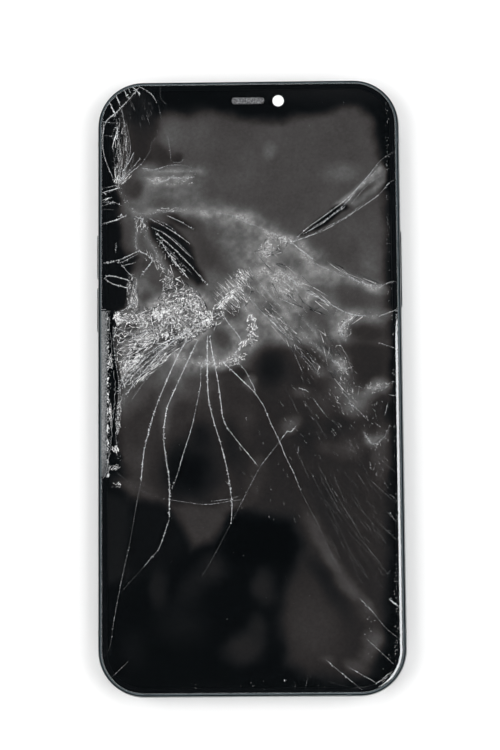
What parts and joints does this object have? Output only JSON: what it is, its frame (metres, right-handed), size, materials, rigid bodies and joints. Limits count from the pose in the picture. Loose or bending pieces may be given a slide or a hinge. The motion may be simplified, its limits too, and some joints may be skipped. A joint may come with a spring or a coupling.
{
  "type": "shattered screen phone",
  "caption": "Slab touch-screen phone with a shattered, cloudy front glass, side buttons, card tray and flat back.",
  "frame": {"origin": "middle of the back face, on the surface the phone lies on", "axes": "+Z out of the screen, +Y towards the earpiece, +X to the right as the screen is seen"},
  "size_m": [0.0712, 0.1436, 0.0078],
  "materials": {
    "front_glass": "shattered clear glass, gloss, with white fracture lines",
    "mesh_metal": "fine dark mesh",
    "milky_plastic": "milky white",
    "circuit_board": "solder mask",
    "black_plastic": "fine matt",
    "sheet_metal": "thin pressed sheet",
    "dark_display": "black with cloudy grey bloom where it has come apart",
    "seal_foam": "soft closed foam",
    "flex_film": "amber film",
    "band_metal": "anodised dark blue-grey, satin, worn at the edges",
    "break_plastic": "moulded, satin",
    "inner_aluminium": "machined",
    "back_glass": "dark tinted glass, gloss, with fine scuffs",
    "lens_glass": "coated lens cover",
    "ring_metal": "polished ring",
    "flash_plastic": "ribbed clear lens over yellow lamps",
    "battery_wrap": "plain foil wrap",
    "screw_steel": "small bright screws",
    "coil_copper": "flat wound wire",
    "ferrite": "dull sheet"
  },
  "bodies": {
    "housing": {"cover_glass": "front_glass", "earpiece_mesh": "mesh_metal", "front_light_diffuser": "milky_plastic", "front_light_board": "circuit_board", "proximity_sensor": "black_plastic", "earpiece_speaker": "sheet_metal", "display_frame": "black_plastic", "display_panel": "dark_display", "display_backing": "sheet_metal", "display_seal": "seal_foam", "display_flex": "flex_film", "display_connector": "black_plastic", "side_band": "band_metal", "antenna_breaks": "break_plastic", "mid_plate": "inner_aluminium", "back_glass": "back_glass", "camera_window_upper": "lens_glass", "camera_window_lower": "lens_glass", "camera_ring_upper": "ring_metal", "camera_ring_lower": "ring_metal", "camera_module_upper": "black_plastic", "camera_module_lower": "black_plastic", "camera_bracket": "sheet_metal", "flash_lens": "flash_plastic", "flash_led": "circuit_board", "battery": "battery_wrap", "battery_pull_tabs": "milky_plastic", "battery_flex": "flex_film", "battery_connector": "black_plastic", "main_board": "circuit_board", "processor_shield": "sheet_metal", "radio_shield": "sheet_metal", "board_screws": "screw_steel", "sim_reader": "sheet_metal", "loudspeaker": "black_plastic", "vibration_motor": "sheet_metal", "bottom_microphone": "ring_metal", "charging_port": "screw_steel", "charging_tongue": "black_plastic", "charging_flex": "flex_film", "wireless_coil": "coil_copper", "ferrite_sheet": "ferrite", "volume_switch_flex": "flex_film", "side_switch_flex": "flex_film", "bottom_screws": "screw_steel"},
    "volume_up": {"volume_up_button": "band_metal"},
    "volume_down": {"volume_down_button": "band_metal"},
    "side_key": {"side_button": "band_metal"},
    "mute_lever": {"mute_switch": "band_metal"},
    "card_tray": {"sim_tray": "band_metal", "sim_tray_seal": "seal_foam"}
  },
  "joints": [
    {"name": "volume_up_press", "type": "slide", "parent": "housing", "child": "volume_up", "axis": [1, 0, 0], "range_m": [0, 0.00025], "stiffness_N_per_m": 300},
    {"name": "volume_down_press", "type": "slide", "parent": "housing", "child": "volume_down", "axis": [1, 0, 0], "range_m": [0, 0.00025], "stiffness_N_per_m": 300},
    {"name": "side_press", "type": "slide", "parent": "housing", "child": "side_key", "axis": [-1, 0, 0], "range_m": [0, 0.00025], "stiffness_N_per_m": 300},
    {"name": "mute_slide", "type": "slide", "parent": "housing", "child": "mute_lever", "axis": [0, 0, -1], "range_m": [0, 0.0012]},
    {"name": "tray_slide", "type": "slide", "parent": "housing", "child": "card_tray", "axis": [1, 0, 0], "range_m": [0, 0.02]}
  ]
}
